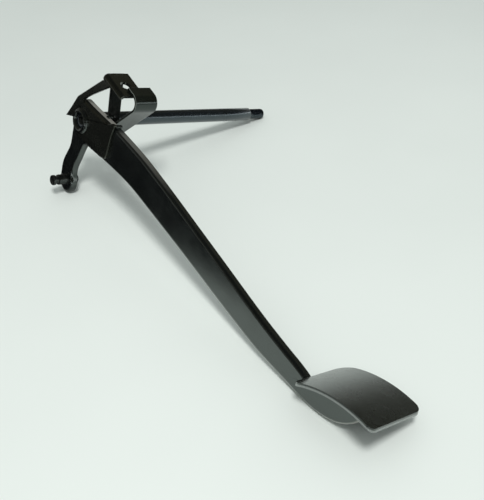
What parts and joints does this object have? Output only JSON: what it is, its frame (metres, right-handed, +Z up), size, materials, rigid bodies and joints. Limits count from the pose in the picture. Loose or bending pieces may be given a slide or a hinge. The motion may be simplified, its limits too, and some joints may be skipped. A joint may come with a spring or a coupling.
{
  "type": "suspended foot pedal",
  "caption": "Suspended foot pedal weldment: flat bell-crank arm with a curved pad plate, pivot shaft, folded stop bracket, curled strap and grooved rod pin.",
  "frame": {"origin": "on the pivot shaft's axis, where its plain journal leaves the weld on the arm's far side", "axes": "part lies as it rests on a floor: +Z up, the arm runs towards -Y, the shaft runs towards +X and slopes down 19.2 degrees to its tip"},
  "size_m": [0.2667, 0.4455, 0.1362],
  "materials": {
    "arm_paint": "semi-gloss black paint",
    "pad_paint": "gloss black paint",
    "shaft_paint": "gloss black paint",
    "sheet_paint": "semi-gloss black paint",
    "strap_paint": "semi-gloss black paint",
    "weld_paint": "semi-gloss black paint over weld ripple",
    "pin_paint": "semi-gloss black paint"
  },
  "bodies": {
    "root": {"pedal_arm": "arm_paint", "pad_plate": "pad_paint", "pad_weld_near": "weld_paint", "pad_weld_far": "weld_paint", "pivot_shaft": "shaft_paint", "hub_collar": "weld_paint", "shaft_weld_far": "weld_paint", "stop_bracket": "sheet_paint", "bracket_weld": "weld_paint", "bracket_leg": "sheet_paint", "leg_weld_foot": "weld_paint", "leg_weld_top": "weld_paint", "spring_strap": "strap_paint", "strap_weld_top": "weld_paint", "strap_weld_arm": "weld_paint", "lug_weld": "weld_paint", "rod_pin": "pin_paint", "rod_pin_washer": "pin_paint"}
  },
  "joints": []
}
